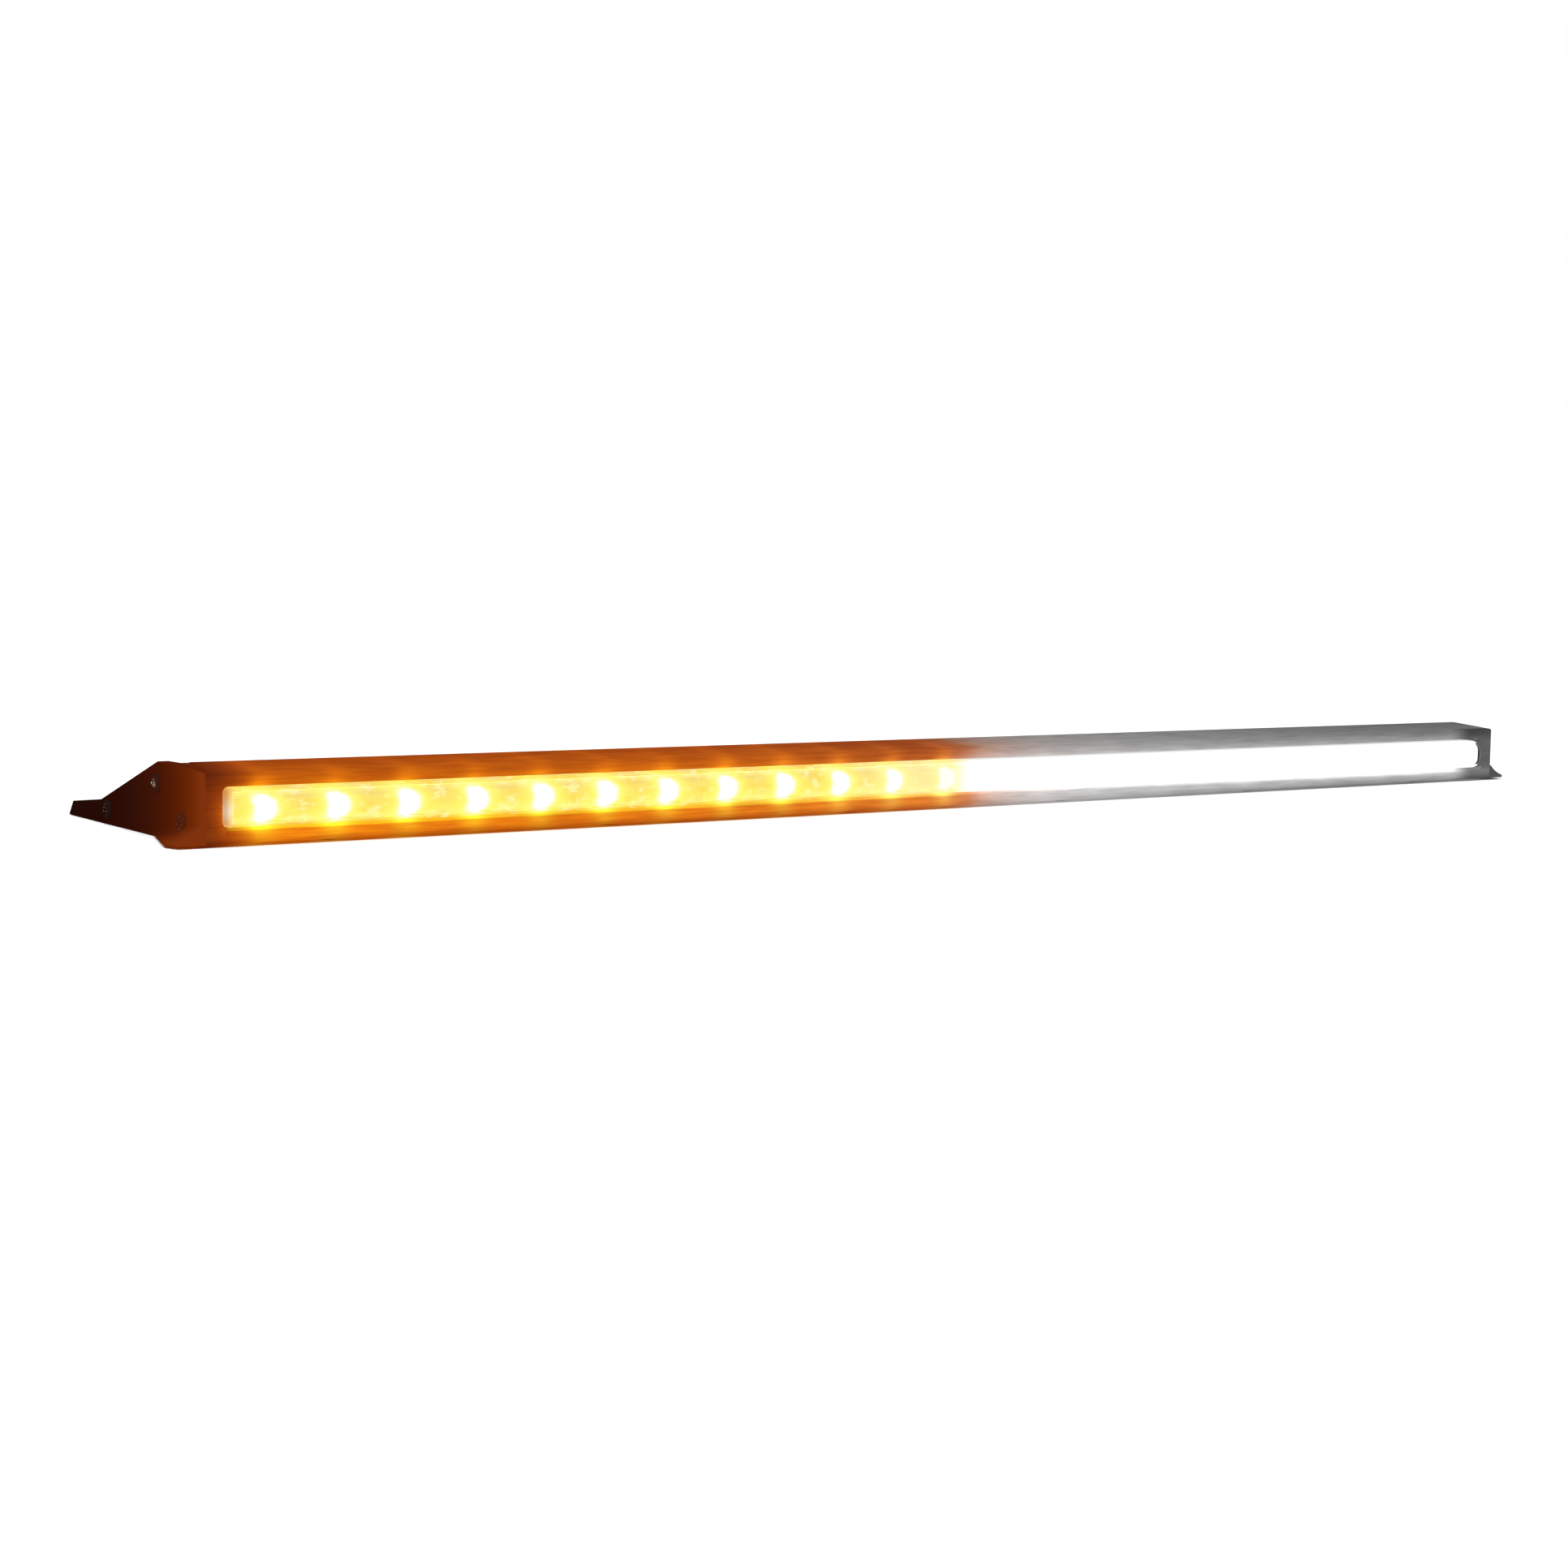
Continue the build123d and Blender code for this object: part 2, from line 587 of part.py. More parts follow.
with BuildPart() as base_gasket:
    with BuildSketch(Plane.XY.offset(PLATE)):
        with Locations((0, PLATE_MID)):
            RectangleRounded(PLATE_LENGTH - 2, PLATE_WIDTH - 0.6, 1.0)
        window_mid = (WEB_BACK + CHAMBER_BACK) / 2
        with Locations((0, window_mid)):
            Rectangle(2 * HOUSING_HALF - 6, CHAMBER_BACK - WEB_BACK - 1, mode=Mode.SUBTRACT)
        with Locations(*base_spots):
            Circle(1.6, mode=Mode.SUBTRACT)
    extrude(amount=RECESS - PLATE)
save(base_gasket.part, "base_gasket")

with BuildPart() as base_screws:
    with Locations(*[(x, y, 0.15) for x, y in base_spots]):
        add(countersunk_screw(2.9, 5.7, 5.6))
save(base_screws.part, "base_screws")

with BuildPart() as cable_grommet:
    with Locations((CORD_X, GROMMET_Y, 0)):
        Cylinder(CORD_HOLE / 2, PLATE, align=(Align.CENTER, Align.CENTER, Align.MIN))
    with Locations((CORD_X, GROMMET_Y, PLATE)):
        Cylinder(7.0, 1.4, align=(Align.CENTER, Align.CENTER, Align.MIN))
    fillet(cable_grommet.edges().group_by(Axis.Z)[-1], 0.6)
    with Locations((CORD_X, GROMMET_Y, 0)):
        Hole(2.75)
save(cable_grommet.part, "cable_grommet")

with BuildPart() as breather_vent:
    with Locations((VENT_X, GROMMET_Y, 0.2)):
        Cylinder(VENT_HOLE / 2, PLATE - 0.2, align=(Align.CENTER, Align.CENTER, Align.MIN))
    with Locations((VENT_X, GROMMET_Y, PLATE)):
        Cylinder(4.5, 1.2, align=(Align.CENTER, Align.CENTER, Align.MIN))
    with BuildSketch(Plane.XY):
        with Locations((VENT_X, GROMMET_Y)):
            with PolarLocations(1.4, 4):
                Circle(0.5)
    extrude(amount=1.6, mode=Mode.SUBTRACT)
save(breather_vent.part, "breather_vent")


# ---- driver board and what is on it -------------------------------------------------------
with BuildPart() as driver_board:
    with BuildSketch(Plane.XY.offset(DRIVER_Z)):
        with Locations((0, DRIVER_MID_Y)):
            RectangleRounded(*DRIVER_SIZE, 1.5)
        with Locations(*driver_posts):
            Circle(1.3, mode=Mode.SUBTRACT)
    extrude(amount=DRIVER_TOP - DRIVER_Z)
save(driver_board.part, "driver_board")

with BuildPart() as driver_board_spacers:
    with BuildSketch(Plane.XY.offset(PLATE)):
        with Locations(*driver_posts):
            Circle(2.5)
            Circle(1.3, mode=Mode.SUBTRACT)
    extrude(amount=DRIVER_Z - PLATE)
save(driver_board_spacers.part, "driver_board_spacers")

with BuildPart() as driver_board_screws:
    with Locations(*[Location((x, y, DRIVER_TOP), (180, 0, 0)) for x, y in driver_posts]):
        add(pan_screw(2.4, 4.4, 1.2, 5.8))
save(driver_board_screws.part, "driver_board_screws")

CHIP_BODY = (5.0, 4.0, 1.5)
CHIP_PINS = 4

with BuildPart() as driver_chips:
    with Locations((-18, -24, DRIVER_TOP + 0.1), (20, -24, DRIVER_TOP + 0.1)):
        Box(*CHIP_BODY, align=(Align.CENTER, Align.CENTER, Align.MIN))
    with BuildSketch(Plane.XY.offset(DRIVER_TOP)):
        with Locations((-18, -24), (20, -24)):
            with GridLocations(1.27, 1, CHIP_PINS, 1):
                Rectangle(0.42, CHIP_BODY[1] + 2.0)
    extrude(amount=0.3)
save(driver_chips.part, "driver_chips")

with BuildPart() as power_inductors:
    with BuildSketch(Plane.XY.offset(DRIVER_TOP)):
        with Locations((-18, -8), (20, -8)):
            RectangleRounded(7.4, 7.4, 1.6)
    extrude(amount=2.6)
    with BuildSketch(Plane.XY.offset(DRIVER_TOP + 2.6)):
        with Locations((-18, -8), (20, -8)):
            Circle(3.0)
    extrude(amount=0.5)
save(power_inductors.part, "power_inductors")

with BuildPart() as filter_capacitors:
    with BuildSketch(Plane.XY.offset(DRIVER_TOP)):
        with Locations((-38, -25), (2, -25), (38, -25)):
            RectangleRounded(6.6, 6.6, 0.8)
    extrude(amount=0.8)
    with BuildSketch(Plane.XY.offset(DRIVER_TOP + 0.8)):
        with Locations((-38, -25), (2, -25), (38, -25)):
            Circle(3.1)
    extrude(amount=4.8)
    fillet(filter_capacitors.edges().group_by(Axis.Z)[-1], 0.5)
save(filter_capacitors.part, "filter_capacitors")

with BuildPart() as input_diodes:
    with Locations((38, -10, DRIVER_TOP), (44, -10, DRIVER_TOP)):
        Box(2.6, 4.3, 2.0, align=(Align.CENTER, Align.CENTER, Align.MIN))
    chamfer(input_diodes.edges().group_by(Axis.Z)[-1], 0.35)
save(input_diodes.part, "input_diodes")

with BuildPart() as driver_resistors:
    with BuildSketch(Plane.XY.offset(DRIVER_TOP)):
        with Locations((-38, -8), (2, -8)):
            with GridLocations(3.0, 4.0, 3, 2):
                Rectangle(1.2, 2.0)
    extrude(amount=0.55)
save(driver_resistors.part, "driver_resistors")


def socket(x, y, size, name):
    """A three-way board socket, open towards the front."""
    length, width, height = size
    with BuildPart() as shell:
        with Locations((x, y, DRIVER_TOP)):
            Box(length, width, height, align=(Align.CENTER, Align.MIN, Align.MIN))
        with BuildSketch(facing(y)):
            with Locations((x, DRIVER_TOP + height / 2)):
                with GridLocations(LEAD_GAP, 1, 3, 1):
                    Circle(LEAD_DIAMETER / 2 + 0.1)
        extrude(amount=-width / 2, mode=Mode.SUBTRACT)
    save(shell.part, name)


socket(55.0, -28.0, (10.0, 6.0, 5.0), "input_connector")
with BuildPart() as lead_connector:
    with Locations((LEAD_X, LEAD_CONNECTOR_FRONT, DRIVER_TOP)):
        Box(10.0, 7.0, 3.6, align=(Align.CENTER, Align.MIN, Align.MIN))
    chamfer(lead_connector.edges().group_by(Axis.Z)[-1], 0.4)
save(lead_connector.part, "lead_connector")


# ---- end caps, gaskets and screws ---------------------------------------------------------
CAP_INNER = HOUSING_HALF + GASKET
SPIGOT = (-26.5, 8.8, 10.0, 9.6)     # centre Y and Z, length and height
SPIGOT_REACH = 3.0
HEAD_SEAT = 6.4
HEAD_SEAT_DEPTH = 1.2
CAP_ROUND = 0.4              # on the outer edges


def end_cap(rear_top, ridge_top):
    """A right-hand end cap, whose top has these heights at its rear and at the ridge."""
    with BuildPart() as cap:
        with BuildSketch(across(CAP_INNER)):
            with BuildLine():
                Polyline(*cap_outline(rear_top, ridge_top), close=True)
            make_face()
        extrude(amount=BODY_HALF - CAP_INNER)
        outer_edges = cap.edges().group_by(Axis.X)[-1]
        fillet(outer_edges.filter_by(lambda edge: edge.center().Z > 1), CAP_ROUND)
        with BuildSketch(across(CAP_INNER)):
            with Locations(SPIGOT[:2]):
                RectangleRounded(SPIGOT[2], SPIGOT[3], 1.5)
        extrude(amount=-SPIGOT_REACH - GASKET)
        add(cap_flare.part)
        # screw holes, with seats that also clear the flare
        with BuildSketch(across(CAP_INNER)):
            with Locations(*END_SCREWS):
                Circle(1.6)
        extrude(amount=BODY_HALF - CAP_INNER, mode=Mode.SUBTRACT)
        with BuildSketch(across(BODY_HALF - HEAD_SEAT_DEPTH)):
            with Locations(*END_SCREWS):
                Circle(HEAD_SEAT / 2)
        extrude(amount=FOOT_HALF - BODY_HALF, mode=Mode.SUBTRACT)
    return cap.part


save(end_cap(*RIGHT_CAP_TOP), "right_end_cap")
save(end_cap(*LEFT_CAP_TOP).mirror(Plane.YZ), "left_end_cap")

with BuildPart() as right_end_gasket:
    with BuildSketch(across(HOUSING_HALF)):
        with BuildLine():
            Polyline(*HOUSING_OUTLINE, close=True)
        make_face()
        offset(amount=-0.3)
        with Locations(SPIGOT[:2]):
            RectangleRounded(SPIGOT[2] + 0.4, SPIGOT[3] + 0.4, 1.6, mode=Mode.SUBTRACT)
        with Locations(*END_SCREWS):
            Circle(1.6, mode=Mode.SUBTRACT)
    extrude(amount=GASKET)
save(right_end_gasket.part, "right_end_gasket")
save(right_end_gasket.part.mirror(Plane.YZ), "left_end_gasket")

with BuildPart() as right_end_screws:
    seat = BODY_HALF - HEAD_SEAT_DEPTH
    with Locations(*[Location((seat, y, z), (0, -90, 0)) for y, z in END_SCREWS]):
        add(pan_screw(2.9, 5.6, 1.9, 12.0))
save(right_end_screws.part, "right_end_screws")
save(right_end_screws.part.mirror(Plane.YZ), "left_end_screws")
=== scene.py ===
"""Looks for the wedge-shaped LED light bar, lit amber on its left half and white on its right."""
import json
from math import radians

import bpy
from mathutils import Matrix, Vector

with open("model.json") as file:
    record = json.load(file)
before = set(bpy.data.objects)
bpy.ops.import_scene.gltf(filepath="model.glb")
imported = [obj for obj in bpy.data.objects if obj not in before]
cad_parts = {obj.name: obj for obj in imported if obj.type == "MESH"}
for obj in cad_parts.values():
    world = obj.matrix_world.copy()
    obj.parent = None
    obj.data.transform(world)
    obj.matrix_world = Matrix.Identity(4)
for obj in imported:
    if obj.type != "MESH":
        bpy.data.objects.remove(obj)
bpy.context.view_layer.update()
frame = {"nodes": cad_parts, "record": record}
nodes = frame["nodes"]

# ---- the object's own measures, in mm ----------------------------------------------------
PITCH = 20.0          # from one cell to the next
WHITE_SHIFT = -5.4    # white emitters stand this far from the amber ones
FACE = -49.0          # front of the bezel
LENS_TOP = 14.7
LENS_FOOT = 4.7
MIDDLE = 9.7          # height of the middle of the lens
CORE_Z = 9.1          # height of the middle of each crescent of glare
LENS_END = 240.3      # half of the lens's length
LENS_CORNER = 1.4     # radius of its corners, seen from the front
CAP_FACE = 245.3      # past this lie the end faces
LIT_Z = 9.2           # height of the middle of the lit area
LIT_RADIUS = 5.35     # of the round right-hand end of the lit area
LIT_END = 233.0       # centre of that end along X, for the light in the lens's rim
CLEAR_END = 233.2     # the same, where the lens stops being clear
OPTIC_END = 233.7     # the same, on the optic
DIM_LEFT = -232.0     # to the left of this the glow in the bezel dies away
DIM_RIGHT = (222.0, 234.5)    # between these it fades on the right
EDGE_TURN = 0.06      # how far the rounded normal turns at a sharp edge


# ---- node graphs --------------------------------------------------------------------------
class Graph:
    """A material's node tree, with short ways to write its sums."""

    def __init__(self, name):
        self.material = bpy.data.materials.new(name)
        self.material.use_nodes = True
        self.tree = self.material.node_tree
        self.shader = self.tree.nodes["Principled BSDF"]
        coords = self.tree.nodes.new("ShaderNodeTexCoord")
        self.place = coords.outputs["Object"]
        self._mm = None

    def node(self, kind, **settings):
        made = self.tree.nodes.new(kind)
        for key, value in settings.items():
            setattr(made, key, value)
        return made

    def put(self, value, socket):
        """Links a socket's value, or writes a constant one."""
        if isinstance(value, bpy.types.NodeSocket):
            self.tree.links.new(value, socket)
        else:
            socket.default_value = value

    def math(self, operation, *values):
        made = self.node("ShaderNodeMath", operation=operation)
        for value, socket in zip(values, made.inputs):
            self.put(value, socket)
        return made.outputs[0]

    def add(self, a, b):
        return self.math("ADD", a, b)

    def sub(self, a, b):
        return self.math("SUBTRACT", a, b)

    def mul(self, *values):
        total = values[0]
        for value in values[1:]:
            total = self.math("MULTIPLY", total, value)
        return total

    def least(self, a, b):
        return self.math("MINIMUM", a, b)

    def most(self, a, b):
        return self.math("MAXIMUM", a, b)

    def span(self, value, low, high, to_low=0.0, to_high=1.0, smooth=True):
        """to_low below low, to_high above high, and a smooth or straight change between."""
        made = self.node("ShaderNodeMapRange")
        made.interpolation_type = "SMOOTHSTEP" if smooth else "LINEAR"
        for key, entry in zip(("Value", "From Min", "From Max", "To Min", "To Max"),
                              (value, low, high, to_low, to_high)):
            self.put(entry, made.inputs[key])
        return made.outputs[0]

    def bell(self, value, middle, width):
        """1 at the middle, falling as a bell curve of that half-width."""
        off = self.math("DIVIDE", self.sub(value, middle), width)
        return self.math("EXPONENT", self.mul(self.mul(off, off), -1.0))

    def fade(self, distance, length):
        """Exponential fall from 1 with distance, over that length."""
        return self.math("EXPONENT", self.mul(self.math("DIVIDE", distance, length), -1.0))

    def mix(self, factor, a, b, blend="MIX"):
        made = self.node("ShaderNodeMix", data_type="RGBA", blend_type=blend)
        made.clamp_factor = True
        self.put(factor, made.inputs[0])
        for value, socket in ((a, made.inputs[6]), (b, made.inputs[7])):
            self.put((*value, 1.0) if isinstance(value, tuple) else value, socket)
        return made.outputs[2]

    def rgb(self, red, green, blue):
        made = self.node("ShaderNodeCombineColor")
        for value, socket in zip((red, green, blue), made.inputs):
            self.put(value, socket)
        return made.outputs[0]

    def mm(self):
        """The place on the object as X, Y and Z in mm."""
        if self._mm is None:
            scaled = self.node("ShaderNodeVectorMath", operation="SCALE")
            self.put(self.place, scaled.inputs[0])
            scaled.inputs["Scale"].default_value = 1000.0
            apart = self.node("ShaderNodeSeparateXYZ")
            self.put(scaled.outputs[0], apart.inputs[0])
            self._mm = tuple(apart.outputs)
        return self._mm

    def noise(self, grain, detail=2.0, stretch=(1, 1, 1)):
        """Noise whose features are about grain mm across, stretched along the axes."""
        mapped = self.node("ShaderNodeMapping")
        self.put(self.place, mapped.inputs["Vector"])
        mapped.inputs["Scale"].default_value = tuple(1000.0 / (grain * s) for s in stretch)
        made = self.node("ShaderNodeTexNoise")
        self.put(mapped.outputs[0], made.inputs["Vector"])
        made.inputs["Scale"].default_value = 1.0
        made.inputs["Detail"].default_value = detail
        made.inputs["Roughness"].default_value = 0.5
        return made.outputs["Fac"]

    def bump(self, height, depth):
        """Surface relief: height from 0 to 1 stands for depth mm."""
        made = self.node("ShaderNodeBump")
        made.inputs["Strength"].default_value = 1.0
        made.inputs["Distance"].default_value = depth / 1000.0
        self.put(height, made.inputs["Height"])
        self.put(made.outputs[0], self.shader.inputs["Normal"])

    def edges(self, radius):
        """1 along the sharp edges and 0 on the flats."""
        bevel = self.node("ShaderNodeBevel", samples=4)
        bevel.inputs["Radius"].default_value = radius / 1000.0
        flat = self.node("ShaderNodeNewGeometry")
        dot = self.node("ShaderNodeVectorMath", operation="DOT_PRODUCT")
        self.put(bevel.outputs[0], dot.inputs[0])
        self.put(flat.outputs["Normal"], dot.inputs[1])
        return self.span(dot.outputs["Value"], 1.0 - EDGE_TURN, 1.0, 1.0, 0.0)

    def ramp(self, value, stops):
        """Colours at places along a line, with straight blends between them."""
        low = stops[0][0]
        high = stops[-1][0]
        made = self.node("ShaderNodeValToRGB")
        entries = made.color_ramp.elements
        while len(entries) < len(stops):
            entries.new(0.5)
        for entry, (place, colour) in zip(entries, stops):
            entry.position = (place - low) / (high - low)
            entry.color = (*colour, 1.0)
        self.put(self.span(value, low, high, smooth=False), made.inputs["Fac"])
        return made.outputs["Color"]

    def set(self, **values):
        """Sets the shader's sockets by name, with _ for a space."""
        for key, value in values.items():
            if isinstance(value, tuple) and len(value) == 3:
                value = (*value, 1.0)
            self.put(value, self.shader.inputs[key.replace("_", " ")])


def cell_phase(graph, shift=0.0):
    """Distance in mm along X from the nearest emitter of a row that is shifted along X."""
    x = graph.mm()[0]
    turns = graph.math("FRACT", graph.math("DIVIDE", graph.sub(x, shift + 1000 * PITCH), PITCH))
    return graph.mul(graph.sub(turns, 0.5), PITCH)


# ---- stray light painted on the parts round the lens ----------------------------------------
def amber_tint(g, level, warmth=0.0, pale=0.0):
    """Amber light at a level: yellower where it is stronger, whiter where it is pale."""
    green = g.add(g.mul(level, g.add(g.mul(pale, 0.05), 0.10)), g.mul(level, level, 0.18))
    blue = g.mul(level, g.add(g.mul(pale, 0.045), 0.004))
    blue = g.add(blue, g.mul(warmth, g.add(g.mul(pale, 0.30), 0.04)))
    return g.rgb(level, g.add(green, warmth), blue)


def white_tint(g, level, near_amber):
    """White light at a level: brownish where it meets the amber half."""
    return g.rgb(level,
                 g.mul(level, g.sub(1.0, g.mul(near_amber, 0.72))),
                 g.mul(level, g.sub(1.0, g.mul(near_amber, 0.97))))


def stray_light(g):
    """The glow of the lit lens, painted into the emission of the black parts round it: a colour,
    in linear light.
    """
    x, y, z = g.mm()
    white_x = g.most(x, 0.0)
    back = g.most(g.sub(y, FACE + 0.5), 0.0)
    above = g.most(g.sub(z, LENS_TOP), 0.0)
    below = g.most(g.sub(LENS_FOOT, z), 0.0)
    lower = g.span(z, MIDDLE - 2, MIDDLE + 2, 1.0, 0.0)
    within = g.span(g.math("ABSOLUTE", x), LENS_END, LENS_END + 1.2, 1.0, 0.0)
    lower = g.mul(lower, g.most(within, g.span(z, LENS_FOOT, LENS_FOOT - 1.5)))
    lobe = g.bell(cell_phase(g), -0.5, 3.8)
    patchy = g.span(g.noise(5.0, 3.0, (2.5, 1, 1)), 0.3, 0.7, 0.95, 1.05)
    streaky = g.span(g.noise(1.8, 3.0, (7, 1, 0.5)), 0.3, 0.7, 0.90, 1.10)

    # above the lens
    even = g.mul(g.span(x, -90.0, -10.0, 0.40, 0.30),
                 g.add(g.mul(g.fade(white_x, 150.0), 0.94), 0.06))
    close = g.mul(g.span(x, -30.0, 15.0, 0.25, 0.38),
                  g.add(g.mul(g.fade(white_x, 60.0), 0.2), 0.8))
    upper_level = g.add(even, g.mul(close, g.fade(above, 3.0)))
    upper_lobe = g.mul(lobe, g.fade(above, 2.5), 0.42)

    # below the lens
    amber_low = g.mul(g.span(z, 0.5, 2.4, 0.50, 0.78), g.span(x, -225.0, -150.0, 1.18, 1.0))
    off_corner = g.span(g.math("ABSOLUTE", x), LENS_END - 1.5, LENS_END - 0.3, 1.0, 0.0)
    beside = g.mul(g.span(below, 0.6, 1.1, 1.0, 0.0), off_corner)
    low_lobe = g.mul(lobe, g.fade(below, 2.3))
    low_warmth = g.add(g.mul(low_lobe, 0.30), g.mul(beside, g.add(g.mul(lobe, 0.2), 0.22)))
    edge = g.span(white_x, 0.0, 200.0, 4.1, 3.1, smooth=False)
    depth = g.sub(edge, z)
    white_low = g.sub(g.add(g.mul(g.fade(white_x, 90.0), 0.22), 0.54),
                      g.mul(depth, g.span(x, 20.0, 200.0, 0.07, 0.13)))
    glare_end = g.span(x, 224.0, 234.0, 1.0, 0.0)
    white_low = g.add(white_low, g.mul(g.span(depth, -0.6, 0.5, 1.0, 0.0), glare_end, 0.42))

    amber_low = g.mul(amber_low, g.span(x, -243.0, -236.0, 0.80, 1.0))

    # beside the left end of the lens
    at_left = g.mul(g.fade(g.most(g.sub(-LENS_END, x), 0.0), 3.6), g.bell(z, MIDDLE - 1.5, 4.0),
                    g.span(x, 1.0 - LENS_END, -LENS_END), 0.75)

    # how the glow dies away along the bar and towards the rear
    left = g.fade(g.most(g.sub(DIM_LEFT, x), 0.0), 9.8)
    right = g.span(g.sub(x, g.mul(lower, 1.5)), *DIM_RIGHT, 1.0, 0.31)
    right = g.most(right, g.span(back, 0.5, 2.0))
    rearward = g.fade(back, g.add(g.mul(white_x, 2.0), 70.0))
    along = g.mul(rearward, left, right, patchy, streaky)

    # the change from amber to white
    pale = g.fade(g.most(g.mul(x, -1.0), 0.0), 45.0)
    past_amber = g.most(g.add(x, 1.0), 0.0)
    brown_up = g.mul(g.fade(past_amber, 20.0), g.sub(0.95, g.mul(g.fade(above, 3.0), 0.38)))
    brown_down = g.mul(g.fade(past_amber, 14.0), 0.85)
    amber_up = g.add(g.add(upper_level, upper_lobe), at_left)
    amber_up = amber_tint(g, g.mul(amber_up, along), pale=pale)
    low_level = g.add(g.add(amber_low, at_left),
                      g.add(g.mul(beside, 0.2), g.mul(low_lobe, 0.28)))
    amber_down = amber_tint(g, g.mul(low_level, along), g.mul(low_warmth, along), pale)
    amber = g.mix(lower, amber_up, amber_down)
    white_up = white_tint(g, g.mul(upper_level, along), brown_up)
    white_down = white_tint(g, g.mul(white_low, along), brown_down)
    white = g.mix(lower, white_up, white_down)
    front = g.mix(g.span(x, -13.0, 5.0), amber, white)

    # the painted glow is weaker on the end faces, and weaker still towards the rear
    fall = g.fade(back, 20.0)
    left_face = amber_tint(g, g.add(g.mul(fall, 0.20), 0.012))
    right_level = g.mul(fall, 0.08)
    right_face = g.rgb(right_level, right_level, right_level)
    ends = g.mix(g.span(x, -1.0, 1.0), left_face, right_face)
    on_end = g.span(g.math("ABSOLUTE", x), CAP_FACE - 0.4, CAP_FACE + 0.4)
    return g.mix(on_end, front, ends)


# ---- the lit lens -----------------------------------------------------------------------------
# From the foot of the lens to its top, between two amber emitters: height in mm and colour.
# The colours were read off the photograph near these heights, made linear, rounded, and then
# adjusted. They are a coarse colour profile of it, not a design choice.
AMBER_BANDS = (
    (3.9, (0.90, 0.38, 0.030)),
    (4.5, (1.00, 0.55, 0.060)),
    (5.1, (0.90, 0.50, 0.060)),
    (5.6, (0.97, 0.80, 0.16)),
    (6.0, (0.98, 0.88, 0.20)),
    (6.7, (0.97, 0.86, 0.15)),
    (8.0, (0.97, 0.82, 0.10)),
    (9.0, (0.97, 0.75, 0.09)),
    (11.0, (0.96, 0.73, 0.12)),
    (12.0, (0.90, 0.66, 0.15)),
    (12.7, (0.97, 0.77, 0.20)),
    (13.1, (0.97, 0.78, 0.20)),
    (13.7, (0.85, 0.60, 0.10)),
    (14.3, (1.00, 0.80, 0.27)),
    (14.9, (0.85, 0.45, 0.10)),
)


def lit_end(g, middle):
    """1 in the lit area and 0 past its round right-hand end, whose centre is at x = middle."""
    x, _, z = g.mm()
    dx = g.most(g.sub(x, middle), 0.0)
    dz = g.sub(z, LIT_Z)
    inside = g.sub(LIT_RADIUS, g.math("SQRT", g.add(g.mul(dx, dx), g.mul(dz, dz))))
    inside = g.add(inside, g.span(x, middle, middle - 7.0, 0.0, 9.0))
    return g.span(inside, -0.4, 0.4)


